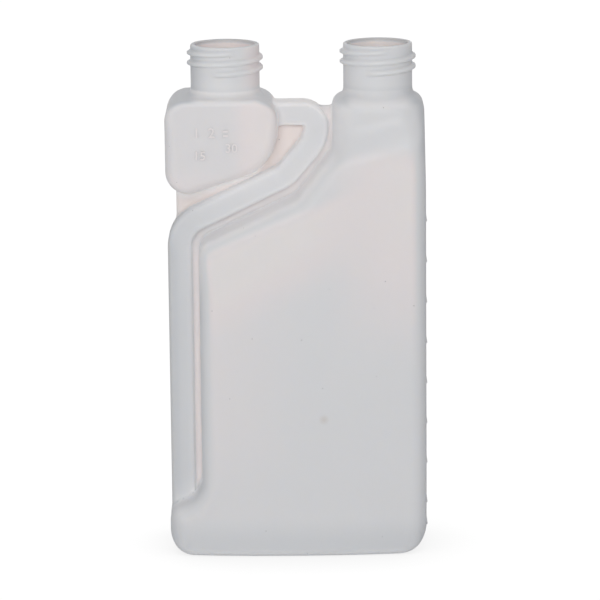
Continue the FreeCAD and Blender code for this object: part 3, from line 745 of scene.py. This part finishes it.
# The tone ramp runs from painted rim shade through painted shade and the plain tone to painted warm light.
tones = add("ShaderNodeValToRGB", {"Fac": third.outputs["Value"]})
tones.color_ramp.elements[0].color = TONE_PAINTED_RIM_SHADE
tones.color_ramp.elements[1].color = TONE_PAINTED_WARM_LIGHT
tones.color_ramp.elements.new(1 / 3).color = TONE_PAINTED_SHADE
tones.color_ramp.elements.new(2 / 3).color = TONE_PLAIN
# The thin share lays the painted warm through-light tone on the webs and lets light scatter further in them.
thinness = kept_share("thin")
# Painted fill light is laid over the tone, then the webs' painted warm through-light.
colour = over(over(tones.outputs["Color"], TONE_PAINTED_FILL_LIGHT, kept_share("painted_fill_light")), TONE_THIN_PAINTED_THROUGH_LIGHT, thinness)

grit = add("ShaderNodeTexVoronoi", {"Vector": where, "Scale": SPECK_SCALE})
specks = add("ShaderNodeMapRange", {
    "Value": grit.outputs["Distance"], "From Min": SPECK_SIZE[0], "From Max": SPECK_SIZE[1],
    "To Min": SPECK_SHARE, "To Max": 0.0,
})
from_scuff = add("ShaderNodeVectorMath", {0: where, 1: SCUFF_AT}, operation="DISTANCE")
scuff = add("ShaderNodeMapRange", {
    "Value": from_scuff.outputs["Value"], "From Min": 0.0, "From Max": SCUFF_SIZE,
    "To Min": SCUFF_SHARE, "To Max": 0.0,
})
colour = over(over(colour, TONE_SPECK, specks.outputs["Result"]), TONE_SCUFF, scuff.outputs["Result"])

scatters = add("ShaderNodeMath", {0: 1.0, 1: kept_share("in_relief")}, operation="SUBTRACT")
passes = add("ShaderNodeMath", {
    0: thinness, 1: THIN_SOFTNESS - SOFTNESS, 2: SOFTNESS,
}, operation="MULTIPLY_ADD")
satin = add("ShaderNodeMapRange", {"Value": cloud.outputs["Fac"], "To Min": SATIN[0], "To Max": SATIN[1]})
grain = add("ShaderNodeTexNoise", {"Vector": where, "Scale": GRAIN_SCALE, "Detail": GRAIN_DETAIL})
parts = add("ShaderNodeSeparateXYZ", {"Vector": where})
off_middle = add("ShaderNodeMath", {0: parts.outputs["Y"]}, operation="ABSOLUTE")
parting = add("ShaderNodeMapRange", {
    "Value": off_middle.outputs["Value"], "From Min": PARTING_WIDTH[0], "From Max": PARTING_WIDTH[1],
    "To Min": PARTING_HEIGHT, "To Max": 0.0,
}, interpolation_type="SMOOTHSTEP")
height = add("ShaderNodeMath", {0: grain.outputs["Fac"], 1: parting.outputs["Result"]}, operation="ADD")
bumped = add("ShaderNodeBump", {
    "Strength": GRAIN_STRENGTH, "Distance": GRAIN_DEPTH, "Height": height.outputs["Value"],
})
body_shader = tree.nodes["Principled BSDF"]
# The emission is a painted glow, standing for light that comes through the wall.
for name, value in (
    ("IOR", REFRACTION), ("Specular IOR Level", GLOSS), ("Subsurface Radius", SCATTERS_RGB),
    ("Emission Strength", PAINTED_GLOW_STRENGTH),
):
    body_shader.inputs[name].default_value = value
for name, output in (
    ("Base Color", colour),
    ("Roughness", satin.outputs["Result"]),
    ("Normal", bumped.outputs["Normal"]),
    ("Subsurface Weight", scatters.outputs["Value"]),
    ("Subsurface Scale", passes.outputs["Value"]),
    ("Emission Color", over(BLACK, TONE_PAINTED_GLOW, kept_share("painted_glow"))),
):
    tree.links.new(output, body_shader.inputs[name])
shell_mesh.materials.append(plastic)
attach(shell, "root")
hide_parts("bottle")

# ------------------------------------------------------------------------- level bars on the right wall
# Eight full levels and one half level are moulded on the right wall as low ribs with rounded ends. They
# are cut into the mould, so they are the same plastic as the wall and stand proud of it by 0.4 mm.
BAR_LENGTH, BAR_HEIGHT = 9.0, 0.8
BAR_WALL = 40.6
BAR_FIRST, BAR_PITCH, BAR_COUNT, BAR_HALF = 14.2, 13.1, 8, 6.9
BAR_STATIONS, BAR_SIDES = 33, 16
BAR_END_POWER, BAR_END_TAPER = 14.0, 0.97

tree = bpy.data.node_groups.new("level_ribs", "GeometryNodeTree")
tree.is_modifier = True
sockets = {}
for label, kind in (
    ("Count", "NodeSocketInt"), ("First", "NodeSocketFloat"), ("Pitch", "NodeSocketFloat"),
    ("Half Level", "NodeSocketFloat"), ("Length", "NodeSocketFloat"), ("Radius", "NodeSocketFloat"),
    ("Wall", "NodeSocketFloat"), ("Plastic", "NodeSocketMaterial"),
):
    sockets[label] = tree.interface.new_socket(label, in_out="INPUT", socket_type=kind).identifier
tree.interface.new_socket("Ribs", in_out="OUTPUT", socket_type="NodeSocketGeometry")
given = add("NodeGroupInput").outputs


def on_wall(height):
    """A place on the wall at this height."""
    return add("ShaderNodeCombineXYZ", {"X": given["Wall"], "Z": given[height]}).outputs["Vector"]


def bar_end(share):
    """An end of the bar, at this share of its length."""
    halved = add("ShaderNodeMath", {0: given["Length"], 1: share}, operation="MULTIPLY")
    return add("ShaderNodeCombineXYZ", {"Y": halved.outputs["Value"]}).outputs["Vector"]


climb = add("ShaderNodeCombineXYZ", {"Z": given["Pitch"]})
levels = add("GeometryNodeMeshLine", {
    "Count": given["Count"], "Start Location": on_wall("First"), "Offset": climb.outputs["Vector"],
}, mode="OFFSET")
half_level = add("GeometryNodeMeshLine", {"Count": 1, "Start Location": on_wall("Half Level")}, mode="OFFSET")
all_levels = add("GeometryNodeJoinGeometry", {"Geometry": levels.outputs["Mesh"]})
tree.links.new(half_level.outputs["Mesh"], all_levels.inputs["Geometry"])

spine = add("GeometryNodeCurvePrimitiveLine", {"Start": bar_end(-0.5), "End": bar_end(0.5)})
divided = add("GeometryNodeResampleCurve", {"Curve": spine.outputs["Curve"], "Count": BAR_STATIONS})
along = add("GeometryNodeSplineParameter")
centred = add("ShaderNodeMath", {0: along.outputs["Factor"], 1: 2.0, 2: -1.0}, operation="MULTIPLY_ADD")
to_end = add("ShaderNodeMath", {0: centred.outputs["Value"]}, operation="ABSOLUTE")
falls = add("ShaderNodeMath", {0: to_end.outputs["Value"], 1: BAR_END_POWER}, operation="POWER")
rises = add("ShaderNodeMath", {
    0: falls.outputs["Value"], 1: -BAR_END_TAPER, 2: 1.0,
}, operation="MULTIPLY_ADD")
bluff = add("ShaderNodeMath", {0: rises.outputs["Value"]}, operation="SQRT")
tapered = add("GeometryNodeSetCurveRadius", {
    "Curve": divided.outputs["Curve"], "Radius": bluff.outputs["Value"],
})
section = add("GeometryNodeCurvePrimitiveCircle", {"Resolution": BAR_SIDES, "Radius": given["Radius"]})
swept = add("GeometryNodeCurveToMesh", {
    "Curve": tapered.outputs["Curve"], "Profile Curve": section.outputs["Curve"], "Fill Caps": True,
})
placed = add("GeometryNodeInstanceOnPoints", {
    "Points": all_levels.outputs["Geometry"], "Instance": swept.outputs["Mesh"],
})
solid = add("GeometryNodeRealizeInstances", {"Geometry": placed.outputs["Instances"]})
smooth = add("GeometryNodeSetShadeSmooth", {"Geometry": solid.outputs["Geometry"]})
coloured = add("GeometryNodeSetMaterial", {
    "Geometry": smooth.outputs["Geometry"], "Material": given["Plastic"],
})
add("NodeGroupOutput", {"Ribs": coloured.outputs["Geometry"]})

ribs = bpy.data.objects.new("level_bars", bpy.data.meshes.new("level_bars"))
bpy.context.scene.collection.objects.link(ribs)
maker = ribs.modifiers.new("ribs", "NODES")
maker.node_group = tree
for label, value in (
    ("Count", BAR_COUNT), ("First", BAR_FIRST * MM), ("Pitch", BAR_PITCH * MM), ("Half Level", BAR_HALF * MM),
    ("Length", BAR_LENGTH * MM), ("Radius", BAR_HEIGHT / 2 * MM), ("Wall", BAR_WALL * MM),
    ("Plastic", plastic),
):
    maker[sockets[label]] = value
ribs.data = bpy.data.meshes.new_from_object(ribs.evaluated_get(bpy.context.evaluated_depsgraph_get()))
ribs.modifiers.clear()
in_relief = ribs.data.attributes.new("in_relief", "FLOAT", "POINT")
in_relief.data.foreach_set("value", [1.0] * len(ribs.data.vertices))
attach(ribs, "root")

# ------------------------------------------------------------------------- numerals on the dosing chamber
# Small plain numerals and level ticks stand on the chamber's front, cut shallow in the mould, so they are
# of the same plastic and hardly show.
MARK_RELIEF, MARK_EDGE, MARK_ROUNDING = 0.08, 0.05, 3
# The numerals take a share of the painted warm light tone and of the painted fill light.
MARK_TONES = (("painted_light_tone", 0.6), ("painted_fill_light", 0.4), ("in_relief", 1.0))
# text, size, left end, foot
MARKS = (
    ("1  2", 4.4, -32.0, 134.6),
    ("15", 3.9, -32.0, 127.6),
    ("30", 3.9, -22.1, 129.9),
    ("-", 6.0, -22.9, 135.2),
    ("-", 6.0, -22.9, 133.8),
)

mark_points, mark_faces = [], []
for text, size, left, foot in MARKS:
    curve = bpy.data.curves.new("numerals", "FONT")
    curve.body = text
    curve.size = size
    curve.extrude = MARK_RELIEF
    curve.bevel_depth = MARK_EDGE
    curve.resolution_u = MARK_ROUNDING
    flat = bpy.data.objects.new("numerals", curve)
    bpy.context.scene.collection.objects.link(flat)
    mesh = bpy.data.meshes.new_from_object(flat.evaluated_get(bpy.context.evaluated_depsgraph_get()))
    mark_faces.extend([corner + len(mark_points) for corner in face.vertices] for face in mesh.polygons)
    mark_points.extend((left + v.co.x, -CHAMBER_HALF_DEPTH - v.co.z, foot + v.co.y) for v in mesh.vertices)
    bpy.data.objects.remove(flat)
    bpy.data.meshes.remove(mesh)
marks_mesh = bpy.data.meshes.new("chamber_marks")
marks_mesh.from_pydata((np.array(mark_points) * MM).tolist(), [], mark_faces)
for name, amount in MARK_TONES:
    marks_mesh.attributes.new(name, "FLOAT", "POINT").data.foreach_set("value", [amount] * len(mark_points))
marks_mesh.materials.append(plastic)
marks_piece = bpy.data.objects.new("chamber_marks", marks_mesh)
bpy.context.scene.collection.objects.link(marks_piece)
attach(marks_piece, "root")
